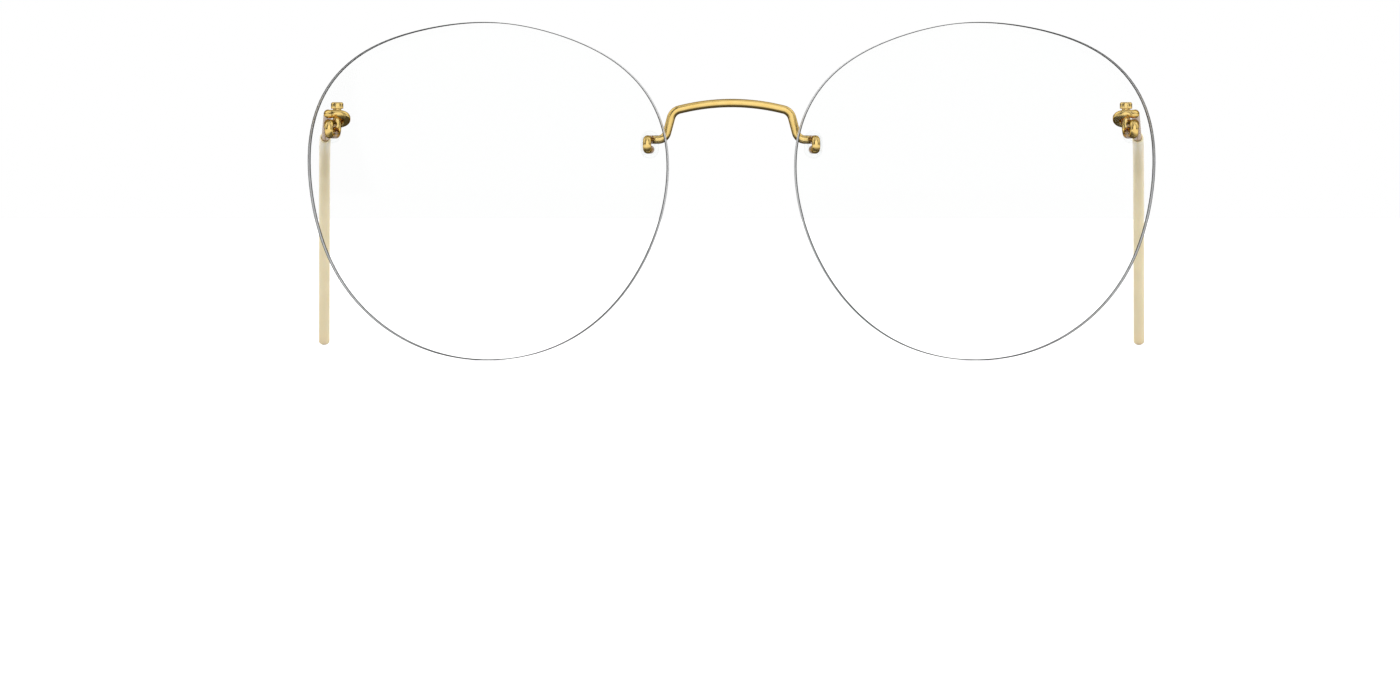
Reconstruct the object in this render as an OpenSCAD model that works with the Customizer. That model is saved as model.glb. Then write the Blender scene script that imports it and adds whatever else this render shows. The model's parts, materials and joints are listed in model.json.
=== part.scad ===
// Screwless rimless eyeglasses: two drilled lenses, a bent wire bridge, and two
// wire temples that coil round the upturned ends of the hinge wires.
// +X is the wearer's left, +Y runs back along the temples, +Z is up.
// The glasses stand on the lower edges of the lenses and on both temple tips.

/* [Lenses] */
// Space between the two lenses at their closest
lens_gap = 17; // [16:0.5:20]
// Thickness of a lens
lens_thick = 2; // [1.8:0.1:2.2]
// Radius of the front surface
lens_front_r = 130; // [120:5:180]
// How far each lens turns back round the face, in degrees
lens_wrap = 7; // [6:0.5:8]

/* [Wire] */
// Diameter of every wire
wire_d = 1.15; // [1:0.05:1.15]
// Distance between the two legs of each hook
leg_gap = 1.35; // [1.3:0.05:1.45]

/* [Bridge] */
// Height of the middle of the bridge above the lens centres
bridge_rise = 12.05; // [11:0.05:13]
// Height of the middle of the bridge above its two corners
bridge_crown = 1.1; // [0.9:0.05:1.3]

/* [Temples] */
// Length from the hinge pin to where the temple turns down
temple_straight = 102.4; // [96:0.1:106]
// Radius of the bend behind the ear
ear_bend_r = 24.6; // [20:0.1:30]
// Angle of the end below the straight part, in degrees
ear_drop = 56.4; // [50:0.2:60]
// Length of the straight end after the ear bend
ear_end = 21.1; // [18:0.1:24]
// Outer diameter of the soft sleeve
sleeve_d = 1.65; // [1.6:0.05:1.9]
// Distance from the hinge pin to the front of the sleeve
sleeve_start = 83.4; // [75:0.1:90]
// How far each temple spreads outwards when it is open, in degrees
temple_splay = 2.5; // [1.5:0.5:3]

/* [Hidden] */
$fn = 32;
gold = "goldenrod";
wire_r = wire_d / 2;

// Lens outline: its radius at each sixteenth of a turn about the lens centre,
// starting at the nose side and going up over the top, as a lens is traced.
lens_trace = [24.5, 25.6, 24.9, 23.4, 23.1, 23.9, 25.9, 26.1,
              24.5, 23.8, 23.5, 23.2, 23.0, 23.1, 23.2, 23.5];
trace_count = len(lens_trace);
outline_steps = 9 * trace_count;

// Weight of one traced radius at an angle u away from it: a periodic wave that
// is one there and zero at every other traced angle, so the outline is smooth.
function trace_weight(u) =
    abs(sin(u / 2)) < 0.000001 ? 1 : sin(trace_count * u / 2) / (trace_count * tan(u / 2));
function lens_radius(angle) =
    lens_trace * [for (i = [0:trace_count - 1]) trace_weight(angle - i * 360 / trace_count)];
// The outline of the left lens, whose nose side is at -X
outline = [for (i = [0:outline_steps - 1]) let (a = i * 360 / outline_steps)
    lens_radius(a) * [-cos(a), sin(a)]];
lens_back_r = lens_front_r - lens_thick;
through = 12; // from just ahead of a lens to well behind it
lens_half_width = max([for (p = outline) -p.x]);
// How far the surface of a sphere about the lens' own centre of curvature has
// curved back at x, z on the lens
function sag(x, z, sphere_r) = lens_front_r - sqrt(sphere_r * sphere_r - x * x - z * z);

// Hooks: where the middle of each pair of legs goes through its lens
nasal = [-22.1, 6.4];
temporal = [21.7, 8.5];
hook_bend_r = leg_gap / 2 - 0.06;
hook_stand = 0.7; // from the lens to the middle of the hook's bar, in front of it
stub = 0.6; // a hook's short leg stands out this far behind its lens, plus its rounded end
end_length = 0.3; // rounded ends of the wires
end_round = 0.25;

// Bushings
bushing_wall = 0.25;
slot_r = wire_r + bushing_wall;
flange_out = 0.4;
flange_thick = 0.25;

// Hinges
hinge_gap = 4.4; // from the back of the lens to the hinge pin
pin_bend_r = 1.3;
pin_clearance = 0.1; // between the pin and the coil that turns on it
coil_r = wire_d + pin_clearance;
coil_bend_r = coil_r - 0.06;
coil_pitch = 1.3;
coil_lift = 1.5; // from the hook's leg up to the coil's lower turn
head_r = 0.85;
head_h = 0.9;
head_round = 0.25;
head_play = 0.15;
head_grip = 0.2; // length of the pin inside its head
tail_length = 2.9; // ahead of the pin, plus the wire's rounded end
tail_bend_at = 1.3;
tail_drop = 0.4;
tail_bend_r = 3;

// Temple tips
tip_r = sleeve_d / 2 - 0.004;
tip_round = 0.3;
tip_length = 3; // the sleeve's closed end, which the wire ends inside
tip_cover = 2.5; // from the middle of the wire's round end to the end of the sleeve
temple_bow = 0.45; // the wire rises this much just behind the hinge
bow_at = 8;
bow_r = 40;

// Bridge: each arm runs back through the lens, across, up a post and into the arch
arm_behind_lens = 1.3; // from the back of the lens to the arm
post_foot_y = 2.6; // these three are distances behind the lens centres
post_top_y = 2.1;
arch_y = 1.5;
post_inset = 0.5; // the post's top is this much nearer the middle than the lens is
post_lean = 1.05; // the post's foot is this much further out than its top
arm_bend_r = 0.75;
post_foot_r = 1.25;
post_top_r = 1.6;
arch_inset = 1.5; // the arch begins this far inside the corners above the posts

// Places
lens_x = lens_gap / 2 + lens_half_width * cos(lens_wrap)
    + sag(lens_half_width, 0, lens_back_r) * sin(lens_wrap);
lens_z = -min([for (p = outline) p.y]);
bar_y_nasal = sag(nasal.x, nasal.y, lens_front_r) - hook_stand;
bar_y_temporal = sag(temporal.x, temporal.y, lens_front_r) - hook_stand;
back_nasal = sag(nasal.x, nasal.y, lens_back_r);
back_temporal = sag(temporal.x, temporal.y, lens_back_r);
pin_y = back_temporal + hinge_gap;

// A point on the left lens, taken into the frame of the whole
function from_lens(p) = [
    lens_x + p.x * cos(lens_wrap) - p.y * sin(lens_wrap),
    lens_y + p.x * sin(lens_wrap) + p.y * cos(lens_wrap),
    lens_z + p.z, p[3]
];
head_base = coil_lift + coil_pitch + wire_r + head_play;

// Side view of a temple with its straight part level: [back, up]
ear_corner = [temple_straight + ear_bend_r * tan(ear_drop / 2), temple_bow];
function along_end(l) = ear_corner + l * [cos(ear_drop), -sin(ear_drop)];
end_from_corner = ear_bend_r * tan(ear_drop / 2) + ear_end;
// Middle of the tip's rounded edge on its lower side, which meets the floor
tip_edge = along_end(end_from_corner - tip_round)
    - (tip_r - tip_round) * [sin(ear_drop), cos(ear_drop)];
temple_height = lens_z + temporal.y - leg_gap / 2 + coil_lift + coil_pitch;
// The straight part slopes down to the back so that the tip meets the floor
temple_slope = asin((temple_height - tip_round) / norm(tip_edge))
    - atan2(-tip_edge.y, tip_edge.x);
wire_stop = along_end(end_from_corner - tip_cover);
// Middle of the tip's rounded edge on its upper side, which reaches furthest back
back_edge = along_end(end_from_corner - tip_round)
    + (tip_r - tip_round) * [sin(ear_drop), cos(ear_drop)];
function on_temple(p, r = 0) = [
    coil_r,
    p.x * cos(temple_slope) + p.y * sin(temple_slope),
    coil_lift + coil_pitch + p.y * cos(temple_slope) - p.x * sin(temple_slope), r
];

// How far the nasal hooks reach ahead of the lens centres, and the tips behind them
front_reach = wire_r - nasal.x * sin(lens_wrap) - bar_y_nasal * cos(lens_wrap);
back_reach = temporal.x * sin(lens_wrap) + pin_y * cos(lens_wrap)
    + on_temple(back_edge)[1] * cos(temple_splay) - coil_r * sin(temple_splay) + tip_round;
lens_y = (front_reach - back_reach) / 2;
pin = xyz(from_lens([temporal.x, pin_y, temporal.y - leg_gap / 2]));

// Wire routes: corner points, each with the radius of its bend as a fourth number.
// A straight stretch runs this far into the bends at its ends, and a bend is
// thicker by a few thousandths, so that the two join as one solid.
lap = 0.05;
bend_extra = 0.004;
function xyz(p) = [p.x, p.y, p.z];
function unit(v) = v / norm(v);
function turn(a, b, c) = acos(unit(b - a) * unit(c - b));
function setback(route, i) = (i == 0 || i == len(route) - 1) ? 0
    : route[i][3] * tan(turn(xyz(route[i - 1]), xyz(route[i]), xyz(route[i + 1])) / 2);

// Stands its children in the frame with these three axes and this origin
module stand(x, y, z, o) {
    multmatrix([[x.x, y.x, z.x, o.x], [x.y, y.y, z.y, o.y], [x.z, y.z, z.z, o.z]]) children();
}

module stand_along(a, direction) {
    z = unit(direction);
    x = unit(cross(abs(z.z) < 0.9 ? [0, 0, 1] : [1, 0, 0], z));
    stand(x, cross(z, x), z, a) children();
}

module elbow(a, b, c, bend_r, r) {
    before = unit(b - a);
    axle = unit(cross(before, c - b));
    inward = cross(axle, before);
    start = b - before * bend_r * tan(turn(a, b, c) / 2);
    stand(-inward, before, axle, start + inward * bend_r)
        rotate_extrude(angle = turn(a, b, c)) translate([bend_r, 0]) circle(r = r + bend_extra);
}

// Bent round bar along a route
module bar(route, r) {
    last = len(route) - 1;
    for (i = [0:last - 1]) {
        along = unit(xyz(route[i + 1] - route[i]));
        a = xyz(route[i]) + along * (setback(route, i) - (i > 0 ? lap : 0));
        b = xyz(route[i + 1]) - along * (setback(route, i + 1) - (i < last - 1 ? lap : 0));
        stand_along(a, along) cylinder(r = r, h = norm(b - a));
    }
    for (i = [1:last - 1])
        elbow(xyz(route[i - 1]), xyz(route[i]), xyz(route[i + 1]), route[i][3], r);
}

// Rounded end of the wire beyond point i of its route, away from the point before it
module wire_end(route, i, before) {
    direction = unit(xyz(route[i] - route[before]));
    plug(xyz(route[i]) - direction * lap, direction, wire_r - bend_extra, lap + end_length, end_round);
}

// Short round bar with its far edge rounded, from a point along a direction
module plug(at, direction, r, length, rounding) {
    stand_along(at, direction) rotate_extrude() union() {
        square([r, length - rounding]);
        square([r - rounding, length]);
        translate([r - rounding, length - rounding]) circle(r = rounding);
    }
}

module wire(route) {
    bar(route, wire_r);
    wire_end(route, 0, 1);
    wire_end(route, len(route) - 1, len(route) - 2);
}

module on_left_lens() {
    translate([lens_x, lens_y, lens_z]) rotate([0, 0, lens_wrap]) children();
}

// The part of its children between two spheres about the lens' centre of curvature
module shell(outer_r, inner_r) {
    intersection() {
        children();
        translate([0, lens_front_r, 0]) difference() {
            sphere(r = outer_r);
            sphere(r = inner_r);
        }
    }
}

// Upright slot with round ends, which goes through the lens from front to back
module upright_slot(at, r) {
    translate([at.x, 0, at.y]) rotate([-90, 0, 0]) linear_extrude(height = through) {
        for (side = [-1, 1]) translate([0, side * leg_gap / 2]) circle(r = r);
        square([2 * r, leg_gap], center = true);
    }
}

module lens() {
    color("lightcyan", 0.5) on_left_lens() difference() {
        shell(lens_front_r, lens_back_r)
            translate([0, -1, 0]) rotate([90, 0, 0]) mirror([0, 0, 1])
                linear_extrude(height = through) polygon(outline);
        upright_slot(nasal, slot_r);
        upright_slot(temporal, slot_r);
    }
}

module bushing(at) {
    color("azure") on_left_lens() difference() {
        union() {
            shell(lens_front_r, lens_back_r) upright_slot(at, slot_r);
            shell(lens_back_r, lens_back_r - flange_thick)
                upright_slot(at, slot_r + flange_out);
        }
        for (side = [-1, 1])
            translate([at.x, 0, at.y + side * leg_gap / 2]) rotate([-90, 0, 0])
                cylinder(r = wire_r, h = through);
    }
}

// Half of the bridge, from the short leg of its hook to the middle of the arch
post_x = lens_gap / 2 - post_inset;
arm_z = nasal.y + leg_gap / 2;
arch_slope = atan(2 * bridge_crown / (post_x + arch_inset));
arch_tangent = post_x / cos(arch_slope) - arch_inset;
arch_corner_z = bridge_rise + arch_tangent * tan(arch_slope / 2);
arch_r = arch_tangent * post_x / norm([post_x * tan(arch_slope), post_top_y - arch_y]);
half_bridge = [
    from_lens([nasal.x, back_nasal + stub, nasal.y - leg_gap / 2, 0]),
    from_lens([nasal.x, bar_y_nasal, nasal.y - leg_gap / 2, hook_bend_r]),
    from_lens([nasal.x, bar_y_nasal, arm_z, hook_bend_r]),
    from_lens([nasal.x, back_nasal + arm_behind_lens, arm_z, arm_bend_r]),
    [post_x + post_lean, lens_y + post_foot_y, lens_z + arm_z, post_foot_r],
    [post_x, lens_y + post_top_y, lens_z + arch_corner_z - post_x * tan(arch_slope), post_top_r],
    [0, lens_y + arch_y, lens_z + arch_corner_z, arch_r]
];

module bridge() {
    other_half = [for (i = [len(half_bridge) - 2:-1:0])
        let (p = half_bridge[i]) [-p.x, p.y, p.z, p[3]]];
    color(gold) wire([each half_bridge, each other_half]);
}

module hinge_wire() {
    leg = leg_gap / 2;
    head = pin + [0, 0, head_base];
    color(gold) {
        wire([
            from_lens([temporal.x, back_temporal + stub, temporal.y + leg, 0]),
            from_lens([temporal.x, bar_y_temporal, temporal.y + leg, hook_bend_r]),
            from_lens([temporal.x, bar_y_temporal, temporal.y - leg, hook_bend_r]),
            [each pin, pin_bend_r],
            [each (head + [0, 0, head_grip]), 0]
        ]);
        plug(head, [0, 0, 1], head_r, head_h, head_round);
    }
}

module on_left_hinge() {
    translate([pin.x, pin.y, pin.z]) rotate([0, 0, -temple_splay]) children();
}

module temple_wire() {
    low = coil_lift;
    high = coil_lift + coil_pitch;
    color(gold) on_left_hinge() wire([
        [coil_r, -tail_length, low - tail_drop, 0],
        [coil_r, -tail_bend_at, low, tail_bend_r],
        [coil_r, coil_r, low, coil_bend_r],
        [-coil_r, coil_r, low, coil_bend_r],
        [-coil_r, -coil_r, high, coil_bend_r],
        [coil_r, -coil_r, high, coil_bend_r],
        on_temple([bow_at, temple_bow], bow_r),
        on_temple(ear_corner, ear_bend_r),
        on_temple(wire_stop, 0)
    ]);
}

module temple_sleeve() {
    corner = on_temple(ear_corner, ear_bend_r);
    tip_start = xyz(on_temple(along_end(end_from_corner - tip_length)));
    end_direction = unit(tip_start - xyz(corner));
    color("moccasin") on_left_hinge() difference() {
        union() {
            bar([on_temple([sleeve_start, temple_bow]), corner, on_temple(wire_stop)],
                sleeve_d / 2);
            plug(tip_start, end_direction, tip_r, tip_length, tip_round);
        }
        bar([on_temple([sleeve_start - 1, temple_bow]), corner, on_temple(wire_stop)], wire_r);
        plug(xyz(on_temple(wire_stop)) - lap * end_direction, end_direction, wire_r - bend_extra,
            lap + end_length, end_round);
    }
}

lens();  // left_lens
mirror([1, 0, 0]) lens();  // right_lens
bridge();
hinge_wire();  // left_hinge_wire
mirror([1, 0, 0]) hinge_wire();  // right_hinge_wire
temple_wire();  // left_temple_wire
mirror([1, 0, 0]) temple_wire();  // right_temple_wire
temple_sleeve();  // left_temple_sleeve
mirror([1, 0, 0]) temple_sleeve();  // right_temple_sleeve
bushing(nasal);  // left_nasal_bushing
mirror([1, 0, 0]) bushing(nasal);  // right_nasal_bushing
bushing(temporal);  // left_temporal_bushing
mirror([1, 0, 0]) bushing(temporal);  // right_temporal_bushing
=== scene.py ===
import json
import math

import bmesh
import bpy
import numpy as np
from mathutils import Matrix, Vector
from mathutils.geometry import delaunay_2d_cdt


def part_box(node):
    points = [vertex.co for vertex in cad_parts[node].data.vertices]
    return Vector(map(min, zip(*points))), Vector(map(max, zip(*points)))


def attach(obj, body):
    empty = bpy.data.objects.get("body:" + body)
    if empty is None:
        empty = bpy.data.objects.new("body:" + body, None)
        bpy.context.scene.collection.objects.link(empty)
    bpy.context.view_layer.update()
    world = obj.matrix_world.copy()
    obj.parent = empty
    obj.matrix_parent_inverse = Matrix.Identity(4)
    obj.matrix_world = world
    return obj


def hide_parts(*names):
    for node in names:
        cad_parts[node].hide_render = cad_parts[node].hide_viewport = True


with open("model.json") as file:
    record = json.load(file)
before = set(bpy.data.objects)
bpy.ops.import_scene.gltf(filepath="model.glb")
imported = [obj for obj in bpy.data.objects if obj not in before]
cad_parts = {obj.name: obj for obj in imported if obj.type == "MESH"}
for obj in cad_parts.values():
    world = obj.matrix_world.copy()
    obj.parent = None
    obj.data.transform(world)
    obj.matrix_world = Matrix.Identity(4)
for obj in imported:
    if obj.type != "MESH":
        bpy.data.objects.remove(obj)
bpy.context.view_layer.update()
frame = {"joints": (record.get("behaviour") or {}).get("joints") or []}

MM = 0.001
SIDES = {"left": 1, "right": -1}

# ---------------------------------------------------------------- dimensions
# The dimensions of the CAD part, in millimetres and radians, with each wire's
# rounded ends counted in its length. Those marked "only here" are finer detail of
# the visual model. The left side is worked out, and the right side is its mirror.

# Lens. The trace is its radius in 16 even directions, from the nose upwards.
LENS_TRACE = [24.5, 25.6, 24.9, 23.4, 23.1, 23.9, 25.9, 26.1,
              24.5, 23.8, 23.5, 23.2, 23.0, 23.1, 23.2, 23.5]
LENS_WRAP = math.radians(7)
FRONT_R, BACK_R = 130, 128
BEVEL = 0.1  # only here
NASAL, TEMPORAL = (-22.1, 6.4), (21.7, 8.5)  # middles of the slots on the lens

# Wire and hooks.
WIRE_R = 0.575
WIRE_END_ROUND = 0.25
LEG_GAP = 1.35
HOOK_BEND_R = LEG_GAP / 2 - 0.06
HOOK_STAND = 0.7
STUB = 0.9

# Bridge.
POST_X = 8.0
BRIDGE_RISE, BRIDGE_CROWN, ARCH_INSET = 12.05, 1.1, 1.5
ARM_BEHIND_LENS, ARM_BEND_R = 1.3, 0.75
POST_LEAN, POST_FOOT_Y, POST_FOOT_R = 1.05, 2.6, 1.25
POST_TOP_Y, POST_TOP_R = 2.1, 1.6
ARCH_Y = 1.5

# Hinge.
PIN_BEND_R = 1.3
HINGE_GAP = 4.4
COIL_R = 1.25
COIL_BEND_R = COIL_R - 0.06
COIL_LIFT, COIL_PITCH = 1.5, 1.3
HEAD_PLAY = 0.15
HEAD_BASE = COIL_LIFT + COIL_PITCH + WIRE_R + HEAD_PLAY
HEAD_R, HEAD_TALL = 0.85, 0.9
HEAD_UNDER_ROUND = 0.08  # only here
TAIL_BEND_AT, TAIL_BEND_R, TAIL_END, TAIL_DROP = -1.3, 3, -3.2, 0.475

# Temple and sleeve.
SPLAY = math.radians(2.5)
STRAIGHT, BOW_AT, BOW, BOW_R = 102.4, 8, 0.45, 40
EAR_R, EAR_DROP, EAR_END = 24.6, math.radians(56.4), 21.1
SLEEVE_R, SLEEVE_START = 0.825, 83.4
TIP_R, TIP_ROUND = SLEEVE_R - 0.004, 0.3
TIP_COVER = 2.2  # of the sleeve past the end of the wire

# Bushings in the lens slots.
BUSHING_WALL, FLANGE_OUT, FLANGE_THICK = 0.25, 0.4, 0.25
SLOT_R = WIRE_R + BUSHING_WALL
FLANGE_ROUND = 0.08  # only here
PLAY = 0.012  # only here: keeps the bushing's walls off the wire and off the lens


# ---------------------------------------------------------------- lens geometry
def sag(x, z, sphere_r):
    """How far a lens surface lies behind the lens' foremost point"""
    return FRONT_R - math.sqrt(sphere_r ** 2 - x * x - z * z)


def trace_weight(u):
    """Share of one traced radius at an angle u away from it, which gives a smooth outline"""
    n = len(LENS_TRACE)
    if abs(math.sin(u / 2)) < 1e-9:
        return 1.0
    return math.sin(n * u / 2) / (n * math.tan(u / 2))


def lens_radius(angle):
    step = 2 * math.pi / len(LENS_TRACE)
    return sum(r * trace_weight(angle - i * step) for i, r in enumerate(LENS_TRACE))


# The pin of the left hinge comes from the frame, and the lens is placed from it.
PIN = Vector(frame["joints"][0]["pos_m"]) / MM
PIN_AHEAD = sag(*TEMPORAL, BACK_R) + HINGE_GAP
WRAP_COS, WRAP_SIN = math.cos(LENS_WRAP), math.sin(LENS_WRAP)
LENS = Vector((
    PIN.x - TEMPORAL[0] * WRAP_COS + PIN_AHEAD * WRAP_SIN,
    PIN.y - TEMPORAL[0] * WRAP_SIN - PIN_AHEAD * WRAP_COS,
    PIN.z - TEMPORAL[1] + LEG_GAP / 2,
))


def from_lens(x, y, z, bend_r=0):
    """A point on the left lens in the frame of the whole, with its bend's radius"""
    return (LENS.x + x * WRAP_COS - y * WRAP_SIN,
            LENS.y + x * WRAP_SIN + y * WRAP_COS, LENS.z + z, bend_r)


# ---------------------------------------------------------------- wire routes
# A route is a list of corners, each with the radius of the bend that rounds it.
EAR_TANGENT = EAR_R * math.tan(EAR_DROP / 2)
EAR_CORNER = Vector((STRAIGHT + EAR_TANGENT, BOW))
END_FROM_CORNER = EAR_TANGENT + EAR_END


def along_end(length):
    """A point of the temple's side view, at a length past the corner of the ear bend"""
    return EAR_CORNER + length * Vector((math.cos(EAR_DROP), -math.sin(EAR_DROP)))


def temple_slope():
    """How far the straight part of a temple slopes down so that its tip meets the floor"""
    sleeve_low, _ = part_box("left_temple_sleeve")
    flat_r = TIP_R - TIP_ROUND
    edge = (along_end(END_FROM_CORNER - TIP_ROUND)
            - flat_r * Vector((math.sin(EAR_DROP), math.cos(EAR_DROP))))
    height = PIN.z + COIL_LIFT + COIL_PITCH - sleeve_low.z / MM
    return math.asin((height - TIP_ROUND) / edge.length) - math.atan2(-edge.y, edge.x)


SLOPE = temple_slope()


def on_hinge(x, y, z, bend_r=0):
    """A point beside the left hinge pin, with the temple's splay"""
    return (PIN.x + x * math.cos(SPLAY) + y * math.sin(SPLAY),
            PIN.y - x * math.sin(SPLAY) + y * math.cos(SPLAY), PIN.z + z, bend_r)


def on_temple(p, bend_r=0):
    """A point of the temple's side view, in which its straight part is level"""
    along = p[0] * math.cos(SLOPE) + p[1] * math.sin(SLOPE)
    up = p[1] * math.cos(SLOPE) - p[0] * math.sin(SLOPE)
    return on_hinge(COIL_R, along, COIL_LIFT + COIL_PITCH + up, bend_r)


def bridge_route():
    bar_y, back_y = sag(*NASAL, FRONT_R) - HOOK_STAND, sag(*NASAL, BACK_R)
    low, high = NASAL[1] - LEG_GAP / 2, NASAL[1] + LEG_GAP / 2
    slope = 2 * BRIDGE_CROWN / (POST_X + ARCH_INSET)
    tangent = POST_X * math.hypot(1, slope) - ARCH_INSET
    arch_corner = BRIDGE_RISE + tangent * math.tan(math.atan(slope) / 2)
    arch_r = tangent * POST_X / math.hypot(POST_X * slope, POST_TOP_Y - ARCH_Y)
    post_top = arch_corner - POST_X * slope
    half = [
        from_lens(NASAL[0], back_y + STUB, low),
        from_lens(NASAL[0], bar_y, low, HOOK_BEND_R),
        from_lens(NASAL[0], bar_y, high, HOOK_BEND_R),
        from_lens(NASAL[0], back_y + ARM_BEHIND_LENS, high, ARM_BEND_R),
        (POST_X + POST_LEAN, LENS.y + POST_FOOT_Y, LENS.z + high, POST_FOOT_R),
        (POST_X, LENS.y + POST_TOP_Y, LENS.z + post_top, POST_TOP_R),
    ]
    top = (0, LENS.y + ARCH_Y, LENS.z + arch_corner, arch_r)
    return half + [top] + [(-p[0],) + p[1:] for p in reversed(half)]


def hinge_route():
    bar_y, back_y = sag(*TEMPORAL, FRONT_R) - HOOK_STAND, sag(*TEMPORAL, BACK_R)
    low, high = TEMPORAL[1] - LEG_GAP / 2, TEMPORAL[1] + LEG_GAP / 2
    return [
        from_lens(TEMPORAL[0], back_y + STUB, high),
        from_lens(TEMPORAL[0], bar_y, high, HOOK_BEND_R),
        from_lens(TEMPORAL[0], bar_y, low, HOOK_BEND_R),
        (PIN.x, PIN.y, PIN.z, PIN_BEND_R),
        (PIN.x, PIN.y, PIN.z + HEAD_BASE + HEAD_TALL, 0),
    ]


def temple_route():
    low, high, r = COIL_LIFT, COIL_LIFT + COIL_PITCH, COIL_BEND_R
    return [
        on_hinge(COIL_R, TAIL_END, low - TAIL_DROP),
        on_hinge(COIL_R, TAIL_BEND_AT, low, TAIL_BEND_R),
        on_hinge(COIL_R, COIL_R, low, r),
        on_hinge(-COIL_R, COIL_R, low, r),
        on_hinge(-COIL_R, -COIL_R, high, r),
        on_hinge(COIL_R, -COIL_R, high, r),
        on_temple((BOW_AT, BOW), BOW_R),
        on_temple(EAR_CORNER, EAR_R),
        on_temple(along_end(END_FROM_CORNER - TIP_COVER)),
    ]


def sleeve_route():
    return [on_temple((SLEEVE_START, BOW)), on_temple(EAR_CORNER, EAR_R),
            on_temple(along_end(END_FROM_CORNER))]


def unit(v):
    return v / np.linalg.norm(v)


class Path:
    """A route's centre line as straight stretches and arcs, measured by length"""

    SHORTEST_PART = 1e-4
    LONGEST_ARC_STEP = 0.8
    LEAST_RING_GAP = 0.02

    def __init__(self, route):
        points = [np.array(p[:3], float) for p in route]
        self.parts = []  # (start, length, first point, direction, inward, radius)
        self.length = 0.0
        at = points[0]
        for i in range(1, len(points)):
            ahead = unit(points[i] - points[i - 1])
            if i < len(points) - 1:
                after = unit(points[i + 1] - points[i])
                angle = math.acos(max(-1, min(1, float(ahead @ after))))
                back = route[i][3] * math.tan(angle / 2)
            else:
                angle = back = 0
            stop = points[i] - ahead * back
            self.add(float((stop - at) @ ahead), at, ahead, None, 0)
            at = stop
            if angle:
                inward = unit(after - ahead * float(ahead @ after))
                self.add(route[i][3] * angle, at, ahead, inward, route[i][3])
                at = points[i] + after * back

    def add(self, length, at, ahead, inward, r):
        if length > self.SHORTEST_PART:
            self.parts.append((self.length, length, at, ahead, inward, r))
            self.length += length

    def at(self, s):
        """Point and direction at a length along the path"""
        part = next((p for p in reversed(self.parts) if s >= p[0]), self.parts[0])
        start, _, first, ahead, inward, r = part
        s -= start
        if inward is None:
            return first + ahead * s, ahead
        a = s / r
        return (first + r * (math.sin(a) * ahead + (1 - math.cos(a)) * inward),
                math.cos(a) * ahead + math.sin(a) * inward)

    def stations(self, first, last, arc_step=0.12, straight_step=3.0):
        """Lengths between first and last at which a tube needs a ring"""
        found = []
        for start, length, _, _, inward, r in self.parts:
            step = straight_step if inward is None else min(arc_step * r, self.LONGEST_ARC_STEP)
            count = max(1, math.ceil(length / step))
            found += [start + length * k / count for k in range(count)]
        return [s for s in found if first + self.LEAST_RING_GAP < s < last - self.LEAST_RING_GAP]


# ---------------------------------------------------------------- tubes
def new_object(name, verts, faces, materials, face_slots=None):
    mesh = bpy.data.meshes.new(name)
    mesh.from_pydata([tuple(v) for v in verts], [], faces)
    for m in materials:
        mesh.materials.append(m)
    if face_slots:
        mesh.polygons.foreach_set("material_index", face_slots)
    mesh.polygons.foreach_set("use_smooth", [True] * len(mesh.polygons))
    mesh.update()
    obj = bpy.data.objects.new(name, mesh)
    bpy.context.scene.collection.objects.link(obj)
    return obj


def sharpen(obj, degrees):
    obj.data.set_sharp_from_angle(angle=math.radians(degrees))


def rounded(s, r, rounding, towards, steps=5):
    """Profile points of a round edge between a flat end and a wall of radius r"""
    return [(s + towards * rounding * (1 - math.cos(a)), r - rounding * (1 - math.sin(a)))
            for a in (math.pi / 2 * k / steps for k in range(steps + 1))]


def tube(name, path, profile, side, material, sides=28):
    """A closed round body along a path: a ring for each (length, radius) of the
    profile, whose first and last radius of 0 are the two ends' middles"""
    verts, faces, along, around = [], [], [], []
    no_wire_starts_along = [0.3, 0.1, 0.95]
    across = unit(np.cross(path.at(0)[1], no_wire_starts_along))
    turns = [2 * math.pi * k / sides for k in range(sides)]
    frames = {}
    for s in sorted({s for s, _ in profile}):
        point, ahead = path.at(s)
        across = unit(across - ahead * float(across @ ahead))
        frames[s] = (point, across, np.cross(ahead, across))
    for s, r in profile:
        point, x, y = frames[s]
        for a in turns if r else [0]:
            verts.append(point + r * (math.cos(a) * x + math.sin(a) * y))
            along.append(s)
            around.append(a)
    rings = len(profile) - 2
    last = len(verts) - 1
    for k in range(sides):
        n = (k + 1) % sides
        faces.append((0, 1 + n, 1 + k))
        for j in range(rings - 1):
            a, b = 1 + j * sides, 1 + (j + 1) * sides
            faces.append((a + k, a + n, b + n, b + k))
        a = 1 + (rings - 1) * sides
        faces.append((a + k, a + n, last))
    verts = [(v[0] * side * MM, v[1] * MM, v[2] * MM) for v in verts]
    if side < 0:
        faces = [f[::-1] for f in faces]
    obj = new_object(name, verts, faces, [material])
    for label, values in (("along_mm", along), ("around", around)):
        layer = obj.data.attributes.new(label, "FLOAT", "POINT")
        layer.data.foreach_set("value", values)
    return obj


def wire(name, route, side, material, head=False):
    """A round wire, whose last end may carry the head of a pin"""
    path = Path(route)
    last = path.length - (HEAD_TALL if head else WIRE_END_ROUND)
    profile = [(0, 0), *rounded(0, WIRE_R, WIRE_END_ROUND, 1)]
    profile += [(s, WIRE_R) for s in path.stations(WIRE_END_ROUND, last)]
    if head:
        profile += [(last, WIRE_R), *rounded(last, HEAD_R, HEAD_UNDER_ROUND, 1)]
    end_r = HEAD_R if head else WIRE_R
    profile += [*reversed(rounded(path.length, end_r, WIRE_END_ROUND, -1)), (path.length, 0)]
    obj = tube(name, path, profile, side, material)
    sharpen(obj, degrees=40)
    return obj


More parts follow.
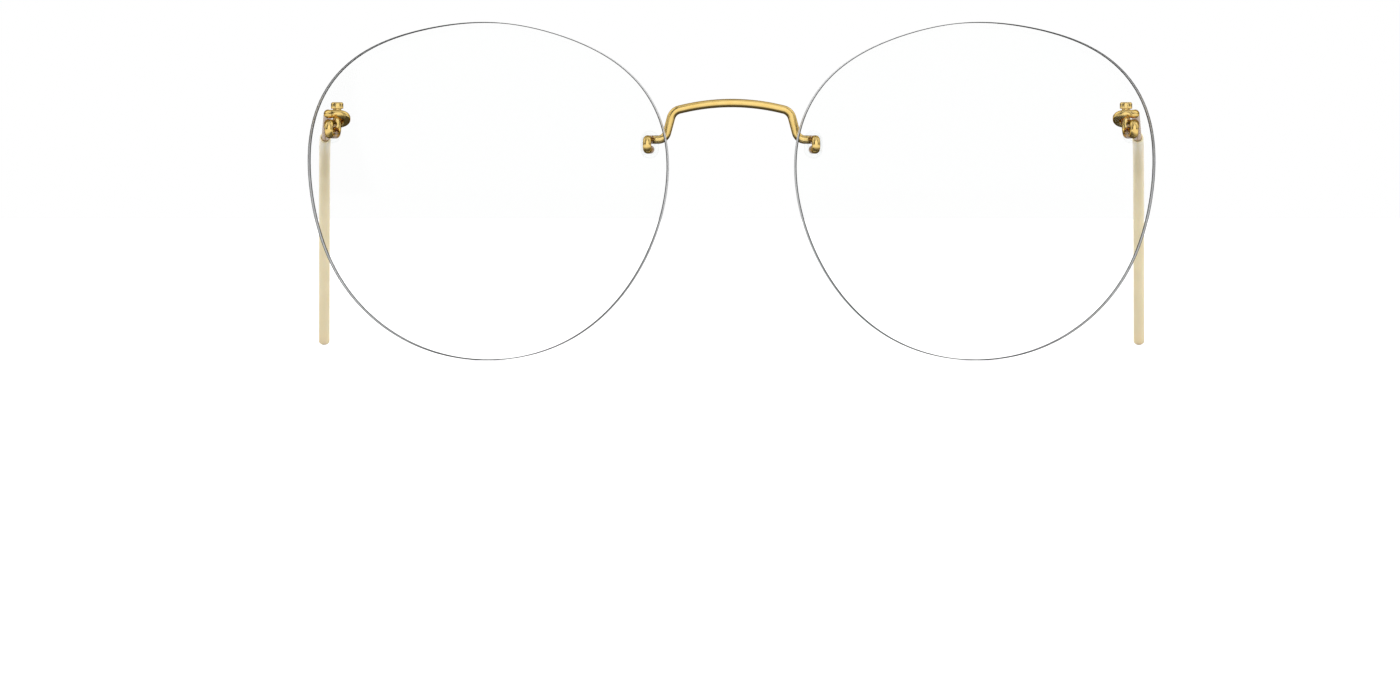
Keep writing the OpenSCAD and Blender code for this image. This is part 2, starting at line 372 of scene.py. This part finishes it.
def sleeve(name, side, material):
    """The sleeve is one skin: up the bore, round the front lip, and back to the tip.
    Its wall is very slightly uneven, and stays within the CAD's."""
    path = Path(sleeve_route())
    bore_r, end_r, mean_r = WIRE_R + 0.004, SLEEVE_R - 0.003, SLEEVE_R - 0.003 - 0.004
    mouth_depth, mouth_flare, lip_round, tip_round = 0.06, 0.05, 0.12, 0.32
    past_wire = 0.02
    bore_end = path.length - TIP_COVER + past_wire
    bore = [bore_end, *reversed(path.stations(lip_round, bore_end))]
    profile = [(bore_end, 0), *[(s, bore_r) for s in bore]]
    profile += [(mouth_depth, bore_r), (0.0, bore_r + mouth_flare)]
    profile += rounded(0.0, end_r, lip_round, 1)
    wall = path.stations(lip_round, path.length - tip_round, arc_step=0.06, straight_step=0.8)
    for s in wall:
        uneven = 0.0024 * math.sin(s * 0.9) + 0.0018 * math.sin(s * 2.3 + 1)
        profile.append((s, mean_r + uneven))
    profile += [*reversed(rounded(path.length, end_r, tip_round, -1)), (path.length, 0)]
    return tube(name, path, profile, side, material, sides=32)


# ---------------------------------------------------------------- lenses and bushings
OUTLINE_POINTS, LENS_RINGS = 192, 22
HALF_TURN_STEPS = 10
BORE_POINTS = 20
CLEAR_OF_SLOT = 0.25  # no loose point of the lens face lies nearer to a slot
# The bevel slot is painted shade: the lens' front and back bevels are coloured near-black to paint
# the dark outline along the lens edge.
CLEAR_FACE, GROUND_EDGE, PAINTED_OUTLINE_BEVEL, SLOT_WALL = range(4)  # a lens' material slots


def outline_points(inset=0.0):
    found = []
    for k in range(OUTLINE_POINTS):
        a = 2 * math.pi * k / OUTLINE_POINTS
        r = lens_radius(a) - inset
        found.append((-r * math.cos(a), r * math.sin(a)))
    return found


def slot_points(at, r):
    found = []
    for top in (1, -1):
        for k in range(HALF_TURN_STEPS + 1):
            a = math.pi * k / HALF_TURN_STEPS
            found.append((at[0] + top * r * math.cos(a),
                          at[1] + top * (LEG_GAP / 2 + r * math.sin(a))))
    return found


def in_slot(x, z, at, r):
    dz = max(abs(z - at[1]) - LEG_GAP / 2, 0)
    return math.hypot(x - at[0], dz) < r


def circle_points(at, r):
    turns = (2 * math.pi * k / BORE_POINTS for k in range(BORE_POINTS))
    return [(at[0] + r * math.cos(a), at[1] + r * math.sin(a)) for a in turns]


def fill(loops, loose, is_hole):
    """Triangles between an outer loop and the loops of its holes, as points and faces"""
    points, edges = [], []
    for loop in loops:
        start, n = len(points), len(loop)
        points += loop
        edges += [(start + k, start + (k + 1) % n) for k in range(n)]
    points += loose
    verts, _, faces, *_ = delaunay_2d_cdt([Vector(p) for p in points], edges, [], 1, 1e-6)
    assert len(verts) == len(points)
    middles = [(sum(verts[i].x for i in f) / 3, sum(verts[i].y for i in f) / 3) for f in faces]
    return points, [list(f) for f, m in zip(faces, middles) if not is_hole(*m)]


class Shell:
    """Collects the mesh of a piece that lies on a lens, from loops at given depths"""

    def __init__(self, side):
        self.side, self.verts, self.faces, self.slots = side, [], [], []

    def lift(self, points, sphere_r, shift=0.0):
        """Adds flat points, laid on a lens surface and shifted back, and gives the first's number"""
        first = len(self.verts)
        for x, z in points:
            p = from_lens(x, sag(x, z, sphere_r) + shift, z)
            self.verts.append((p[0] * self.side * MM, p[1] * MM, p[2] * MM))
        return first

    def cap(self, first, tris, slot=0):
        self.faces += [[first + i for i in t] for t in tris]
        self.slots += [slot] * len(tris)

    def strip(self, a, b, n, slot=0):
        self.faces += [(a + k, a + (k + 1) % n, b + (k + 1) % n, b + k) for k in range(n)]
        self.slots += [slot] * n

    def finish(self, name, materials):
        obj = new_object(name, self.verts, self.faces, materials, self.slots)
        bm = bmesh.new()
        bm.from_mesh(obj.data)
        bmesh.ops.recalc_face_normals(bm, faces=bm.faces)
        bm.to_mesh(obj.data)
        bm.free()
        sharpen(obj, degrees=30)
        return obj


def lens_face():
    """Flat pattern of the lens: points, triangles, and how many points each loop has"""
    slots = (NASAL, TEMPORAL)
    loops = [outline_points(BEVEL), *[slot_points(at, SLOT_R) for at in slots]]
    loose = [(0, 0)]
    for ring in range(1, LENS_RINGS):
        count = max(6, round(OUTLINE_POINTS * ring / LENS_RINGS))
        for k in range(count):
            a = 2 * math.pi * (k + 0.5 * (ring % 2)) / count
            r = (lens_radius(a) - BEVEL) * ring / LENS_RINGS
            x, z = -r * math.cos(a), r * math.sin(a)
            if not any(in_slot(x, z, at, SLOT_R + CLEAR_OF_SLOT) for at in slots):
                loose.append((x, z))

    def in_hole(x, z):
        return any(in_slot(x, z, at, SLOT_R * 0.999) for at in slots)

    points, tris = fill(loops, loose, in_hole)
    return points, tris, [len(loop) for loop in loops]


FACE_POINTS, FACE_TRIS, LOOPS = lens_face()


def lens(name, side, clear, edge, painted_outline, slot_wall):
    shell = Shell(side)
    front, back = shell.lift(FACE_POINTS, FRONT_R), shell.lift(FACE_POINTS, BACK_R)
    shell.cap(front, FACE_TRIS, CLEAR_FACE)
    shell.cap(back, FACE_TRIS, CLEAR_FACE)
    rim, n = outline_points(), LOOPS[0]
    rim_front, rim_back = shell.lift(rim, FRONT_R, BEVEL), shell.lift(rim, BACK_R, -BEVEL)
    # The front and back bevel strips take the near-black painted shade of the lens' dark outline.
    shell.strip(front, rim_front, n, PAINTED_OUTLINE_BEVEL)
    shell.strip(rim_front, rim_back, n, GROUND_EDGE)
    shell.strip(rim_back, back, n, PAINTED_OUTLINE_BEVEL)
    start = n
    for n in LOOPS[1:]:
        shell.strip(front + start, back + start, n, SLOT_WALL)
        start += n
    return shell.finish(name, [clear, edge, painted_outline, slot_wall])


def bushing(name, side, at, material):
    """Flanged sleeve in a lens slot, with a bore for each leg of the hook"""
    shell = Shell(side)
    legs = [(at[0], at[1] + top * LEG_GAP / 2) for top in (1, -1)]
    bores = [circle_points(leg, WIRE_R + PLAY) for leg in legs]
    body, flange = slot_points(at, SLOT_R - PLAY), slot_points(at, SLOT_R + FLANGE_OUT)
    top = slot_points(at, SLOT_R + FLANGE_OUT - FLANGE_ROUND)

    def in_bore(x, z):
        return any(math.hypot(x - leg[0], z - leg[1]) < WIRE_R for leg in legs)

    points, front_tris = fill([body, *bores], [], in_bore)
    front = shell.lift(points, FRONT_R, PLAY)
    shell.cap(front, front_tris)
    points, back_tris = fill([top, *bores], [], in_bore)
    back = shell.lift(points, BACK_R, PLAY + FLANGE_THICK)
    shell.cap(back, back_tris)
    n = len(body)
    under_in = shell.lift(body, BACK_R, PLAY)
    under_out = shell.lift(flange, BACK_R, PLAY)
    over = shell.lift(flange, BACK_R, PLAY + FLANGE_THICK - FLANGE_ROUND)
    for a, b in ((front, under_in), (under_in, under_out), (under_out, over), (over, back)):
        shell.strip(a, b, n)
    start = n
    for bore in bores:
        shell.strip(front + start, back + start, len(bore))
        start += len(bore)
    return shell.finish(name, [material])


# ---------------------------------------------------------------- materials
def new_material(name):
    mat = bpy.data.materials.new(name)
    mat.use_nodes = True
    nodes = mat.node_tree.nodes
    return mat, nodes, mat.node_tree.links, nodes["Principled BSDF"]


def maths(nodes, links, operation, value, factor=None):
    node = nodes.new("ShaderNodeMath")
    node.operation = operation
    links.new(value, node.inputs[0])
    if factor is not None:
        node.inputs[1].default_value = factor
    return node.outputs[0]


def wire_coordinates(nodes, links, along_scale, around_scale):
    """Coordinates along and round a wire, with no seam, from the mesh's own attributes"""
    along, around = nodes.new("ShaderNodeAttribute"), nodes.new("ShaderNodeAttribute")
    along.attribute_name, around.attribute_name = "along_mm", "around"
    place = nodes.new("ShaderNodeCombineXYZ")
    for operation, socket in (("SINE", "X"), ("COSINE", "Y")):
        turned = maths(nodes, links, operation, around.outputs["Fac"])
        links.new(maths(nodes, links, "MULTIPLY", turned, around_scale), place.inputs[socket])
    links.new(maths(nodes, links, "MULTIPLY", along.outputs["Fac"], along_scale), place.inputs["Z"])
    return place.outputs[0]


def noise(nodes, links, vector, scale, detail=3):
    tex = nodes.new("ShaderNodeTexNoise")
    tex.inputs["Scale"].default_value = scale
    tex.inputs["Detail"].default_value = detail
    links.new(vector, tex.inputs["Vector"])
    return tex.outputs["Fac"]


def ramp(nodes, links, value, low, high):
    """Maps a noise value's middle range to a span of numbers or colours"""
    node = nodes.new("ShaderNodeValToRGB")
    middle_range = (0.35, 0.65)
    as_colour = [c if isinstance(c, tuple) else (c, c, c, 1) for c in (low, high)]
    for element, place, colour in zip(node.color_ramp.elements, middle_range, as_colour):
        element.position, element.color = place, colour
    links.new(value, node.inputs[0])
    return node.outputs[0]


def bump(nodes, links, height, distance, strength):
    node = nodes.new("ShaderNodeBump")
    node.inputs["Strength"].default_value = strength
    node.inputs["Distance"].default_value = distance
    links.new(height, node.inputs["Height"])
    return node.outputs[0]


def gold_wire():
    """Gold plate with fine drawing lines along the wire, darker at grazing angles"""
    mat, nodes, links, shader = new_material("polished_gold_wire")
    drawn = wire_coordinates(nodes, links, along_scale=0.15, around_scale=6)
    soft = wire_coordinates(nodes, links, along_scale=0.5, around_scale=0.6)
    lines = noise(nodes, links, drawn, scale=4.0, detail=5)
    cloud = noise(nodes, links, soft, scale=1.2)
    links.new(ramp(nodes, links, cloud, (0.90, 0.635, 0.21, 1), (0.95, 0.69, 0.26, 1)),
              shader.inputs["Base Color"])
    links.new(ramp(nodes, links, lines, 0.12, 0.24), shader.inputs["Roughness"])
    links.new(bump(nodes, links, lines, distance=0.000006, strength=0.35), shader.inputs["Normal"])
    shader.inputs["Metallic"].default_value = 1.0
    shader.inputs["Specular Tint"].default_value = (0.35, 0.22, 0.08, 1)
    return mat


def soft_sleeve():
    """Cream silicone with a fine grain, which lets a little light through"""
    mat, nodes, links, shader = new_material("cream_silicone")
    skin = wire_coordinates(nodes, links, along_scale=1.0, around_scale=1.0)
    cloud = noise(nodes, links, skin, scale=0.25)
    grain = noise(nodes, links, skin, scale=9.0, detail=4)
    links.new(ramp(nodes, links, cloud, (0.88, 0.735, 0.48, 1), (0.93, 0.785, 0.53, 1)),
              shader.inputs["Base Color"])
    links.new(ramp(nodes, links, grain, 0.30, 0.42), shader.inputs["Roughness"])
    links.new(bump(nodes, links, grain, distance=0.00001, strength=0.4), shader.inputs["Normal"])
    shader.inputs["Subsurface Weight"].default_value = 0.2
    shader.inputs["Subsurface Radius"].default_value = (0.0009, 0.0006, 0.0003)
    shader.inputs["Subsurface Scale"].default_value = 1.0
    return mat


def clear_plastic(name, tint, gloss, haze):
    """Thin clear plastic: what is behind it shows straight through, under a gloss
    that grows towards grazing angles. Faint wipe marks vary the gloss."""
    mat, nodes, links, shader = new_material(name)
    nodes.remove(shader)
    place = nodes.new("ShaderNodeTexCoord").outputs["Object"]
    wipe = noise(nodes, links, place, scale=160, detail=4)
    through, mirror = nodes.new("ShaderNodeBsdfTransparent"), nodes.new("ShaderNodeBsdfGlossy")
    through.inputs["Color"].default_value = tint
    links.new(ramp(nodes, links, wipe, *haze), mirror.inputs["Roughness"])
    fresnel, mix = nodes.new("ShaderNodeFresnel"), nodes.new("ShaderNodeMixShader")
    fresnel.inputs["IOR"].default_value = 1.5
    links.new(maths(nodes, links, "MULTIPLY", fresnel.outputs[0], gloss), mix.inputs[0])
    links.new(through.outputs[0], mix.inputs[1])
    links.new(mirror.outputs[0], mix.inputs[2])
    links.new(mix.outputs[0], nodes["Material Output"].inputs["Surface"])
    return mat


def ground_plastic(name, dark, light):
    """The lens' cut surfaces, with the grain of the grinding wheel, in the colours given: light grey
    for the ground edge, and near-black for the bevels, which is painted shade for the lens' dark
    outline.
    """
    mat, nodes, links, shader = new_material(name)
    place = nodes.new("ShaderNodeTexCoord").outputs["Object"]
    grind = noise(nodes, links, place, scale=2600, detail=4)
    links.new(ramp(nodes, links, grind, dark, light), shader.inputs["Base Color"])
    links.new(ramp(nodes, links, grind, 0.35, 0.55), shader.inputs["Roughness"])
    links.new(bump(nodes, links, grind, distance=0.00001, strength=0.4), shader.inputs["Normal"])
    shader.inputs["IOR"].default_value = 1.5
    return mat


# ---------------------------------------------------------------- the object
GOLD = gold_wire()
SLEEVE = soft_sleeve()
LENS_CLEAR = clear_plastic("coated_lens_plastic", tint=(0.998, 1.0, 0.999, 1),
                           gloss=0.22, haze=(0.04, 0.06))
LENS_EDGE = ground_plastic("ground_lens_edge", dark=(0.48, 0.485, 0.49, 1),
                           light=(0.57, 0.575, 0.58, 1))
# The bevels are near-black: painted shade, a dark outline painted along the lens edge.
LENS_PAINTED_OUTLINE = ground_plastic("lens_bevel_painted_outline", dark=(0.02, 0.0205, 0.021, 1),
                            light=(0.04, 0.041, 0.042, 1))
BUSHING = clear_plastic("clear_bushing_plastic", tint=(0.985, 0.99, 0.99, 1),
                        gloss=0.10, haze=(0.08, 0.16))


def build(piece, body, node):
    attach(piece, body)
    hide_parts(node)


build(wire("bridge_wire", bridge_route(), 1, GOLD), "front", "bridge")
for label, side in SIDES.items():
    build(lens(f"{label}_lens_body", side, LENS_CLEAR, LENS_EDGE, LENS_PAINTED_OUTLINE, BUSHING), "front",
          f"{label}_lens")
    build(wire(f"{label}_hook_and_pin", hinge_route(), side, GOLD, head=True), "front",
          f"{label}_hinge_wire")
    build(wire(f"{label}_temple_rod", temple_route(), side, GOLD), f"{label}_temple",
          f"{label}_temple_wire")
    build(sleeve(f"{label}_ear_sleeve", side, SLEEVE), f"{label}_temple",
          f"{label}_temple_sleeve")
    for place, at in (("nasal", NASAL), ("temporal", TEMPORAL)):
        build(bushing(f"{label}_{place}_sleeve", side, at, BUSHING), "front",
              f"{label}_{place}_bushing")


# ---------------------------------------------------------------- the studio
# The floor and the room are white to the camera. The wires mirror a much darker
# room, as they do between black cards, which gives polished wire its dark outline.
# The floor lights the undersides of matt pieces less than a white floor would.
ROOM_SEEN, ROOM_DIFFUSE, ROOM_MIRRORED, FLOOR_MIRRORED = 1.0, 0.86, 0.08, 1.0
FLOOR_RINGS = (0.3, 1.0, 3.0, 7.0)
FLOOR_POINTS = 96
FLOOR_COLOUR = (0.96, 0.96, 0.96, 1)
FLOOR_TO_OBJECTS = (0.45, 0.45, 0.45, 1)  # the floor's colour to diffuse rays
DARK_FLOOR_TO, WHITE_FLOOR_FROM = 0.085, 0.13  # from the middle, as the wires mirror it


def floor_mesh():
    verts = [(0, 0, 0)]
    for r in FLOOR_RINGS:
        turns = (2 * math.pi * k / FLOOR_POINTS for k in range(FLOOR_POINTS))
        verts += [(r * math.cos(a), r * math.sin(a), 0) for a in turns]
    faces = []
    for k in range(FLOOR_POINTS):
        n = (k + 1) % FLOOR_POINTS
        faces.append((0, 1 + k, 1 + n))
        for j in range(len(FLOOR_RINGS) - 1):
            a, b = 1 + j * FLOOR_POINTS, 1 + (j + 1) * FLOOR_POINTS
            faces.append((a + k, b + k, b + n, a + n))
    return verts, faces


def mix_shaders(nodes, links, share, first, second):
    mix = nodes.new("ShaderNodeMixShader")
    links.new(share, mix.inputs[0])
    links.new(first, mix.inputs[1])
    links.new(second, mix.inputs[2])
    return mix.outputs[0]


def floor_material():
    mat, nodes, links, shader = new_material("pale_floor")
    shader.inputs["Base Color"].default_value = FLOOR_COLOUR
    shader.inputs["Roughness"].default_value = 0.9
    shader.inputs["Specular IOR Level"].default_value = 0.1
    path = nodes.new("ShaderNodeLightPath")
    dim = nodes.new("ShaderNodeBsdfDiffuse")
    dim.inputs["Color"].default_value = FLOOR_TO_OBJECTS
    lit = mix_shaders(nodes, links, path.outputs["Is Diffuse Ray"], shader.outputs[0], dim.outputs[0])

    place, middle = nodes.new("ShaderNodeNewGeometry"), nodes.new("ShaderNodeVectorMath")
    middle.operation = "LENGTH"
    links.new(place.outputs["Position"], middle.inputs[0])
    fade, card = nodes.new("ShaderNodeMapRange"), nodes.new("ShaderNodeEmission")
    for label, level in (("From Min", DARK_FLOOR_TO), ("From Max", WHITE_FLOOR_FROM),
                         ("To Min", ROOM_MIRRORED), ("To Max", FLOOR_MIRRORED)):
        fade.inputs[label].default_value = level
    links.new(middle.outputs["Value"], fade.inputs["Value"])
    links.new(fade.outputs[0], card.inputs["Strength"])
    mirrored = nodes.new("ShaderNodeMath")
    mirrored.operation, mirrored.use_clamp = "SUBTRACT", True
    links.new(path.outputs["Is Glossy Ray"], mirrored.inputs[0])
    links.new(path.outputs["Is Transmission Ray"], mirrored.inputs[1])
    both = mix_shaders(nodes, links, mirrored.outputs[0], lit, card.outputs[0])
    links.new(both, nodes["Material Output"].inputs["Surface"])
    return mat


def room():
    world = bpy.data.worlds.new("studio_room")
    world.use_nodes = True
    nodes, links = world.node_tree.nodes, world.node_tree.links
    path = nodes.new("ShaderNodeLightPath")
    value = None
    for ray, level in (("Is Glossy Ray", ROOM_MIRRORED), ("Is Camera Ray", ROOM_SEEN),
                       ("Is Transmission Ray", ROOM_SEEN)):
        mix = nodes.new("ShaderNodeMix")
        mix.inputs["B"].default_value = level
        if value is None:
            mix.inputs["A"].default_value = ROOM_DIFFUSE
        else:
            links.new(value, mix.inputs["A"])
        links.new(path.outputs[ray], mix.inputs["Factor"])
        value = mix.outputs["Result"]
    links.new(value, nodes["Background"].inputs["Strength"])
    nodes["Background"].inputs["Color"].default_value = (1, 1, 1, 1)
    bpy.context.scene.world = world


# Far, wide lamps: name, azimuth, elevation, spread and strength. Azimuth 0 is in
# front of the glasses, and 90 is on the wearer's left.
LAMPS = [
    ("front_lamp", 8, 14, 80, 1.35),
    ("left_lamp", 95, 30, 60, 0.50),
    ("right_lamp", -95, 30, 60, 0.50),
    ("rear_left_lamp", 140, 35, 60, 0.45),
    ("rear_right_lamp", -140, 35, 60, 0.45),
    ("back_lamp", 180, 5, 30, 0.20),
    ("top_lamp", 20, 80, 60, 0.50),
]
LAMP_DISTANCE = 3


def soft_lamp(name, azimuth, elevation, spread, strength):
    data = bpy.data.lights.new(name, "SUN")
    data.angle, data.energy = math.radians(spread), strength
    lamp = bpy.data.objects.new(name, data)
    a, e = math.radians(azimuth), math.radians(elevation)
    place = Vector((math.sin(a) * math.cos(e), -math.cos(a) * math.cos(e), math.sin(e)))
    lamp.location = place * LAMP_DISTANCE
    lamp.rotation_euler = place.to_track_quat("Z", "Y").to_euler()
    bpy.context.scene.collection.objects.link(lamp)


# The camera stands level with the lenses, straight in front, and far away. The
# glasses fill the upper half of the picture, a little to the right.
CAMERA_DISTANCE = 1.4
SENSOR_WIDTH = 36
PICTURE_WIDTH = 0.1905  # of the plane of the lenses
GLASSES_RIGHT_OF_MIDDLE, GLASSES_ABOVE_MIDDLE = 0.00429, 0.02156


def camera():
    data = bpy.data.cameras.new("camera")
    data.sensor_width = SENSOR_WIDTH
    data.lens = SENSOR_WIDTH * CAMERA_DISTANCE / PICTURE_WIDTH
    data.clip_start, data.clip_end = 0.05, 30
    cam = bpy.data.objects.new("camera", data)
    lens_plane = Vector((0, LENS.y * MM, LENS.z * MM))
    cam.location = lens_plane + Vector((0, -CAMERA_DISTANCE, 0))
    aim = lens_plane - Vector((GLASSES_RIGHT_OF_MIDDLE, 0, GLASSES_ABOVE_MIDDLE))
    cam.rotation_euler = (aim - cam.location).to_track_quat("-Z", "Y").to_euler()
    bpy.context.scene.collection.objects.link(cam)
    bpy.context.scene.camera = cam


new_object("studio_floor", *floor_mesh(), [floor_material()])
room()
for lamp in LAMPS:
    soft_lamp(*lamp)
camera()
bpy.context.scene.view_settings.view_transform = "Standard"
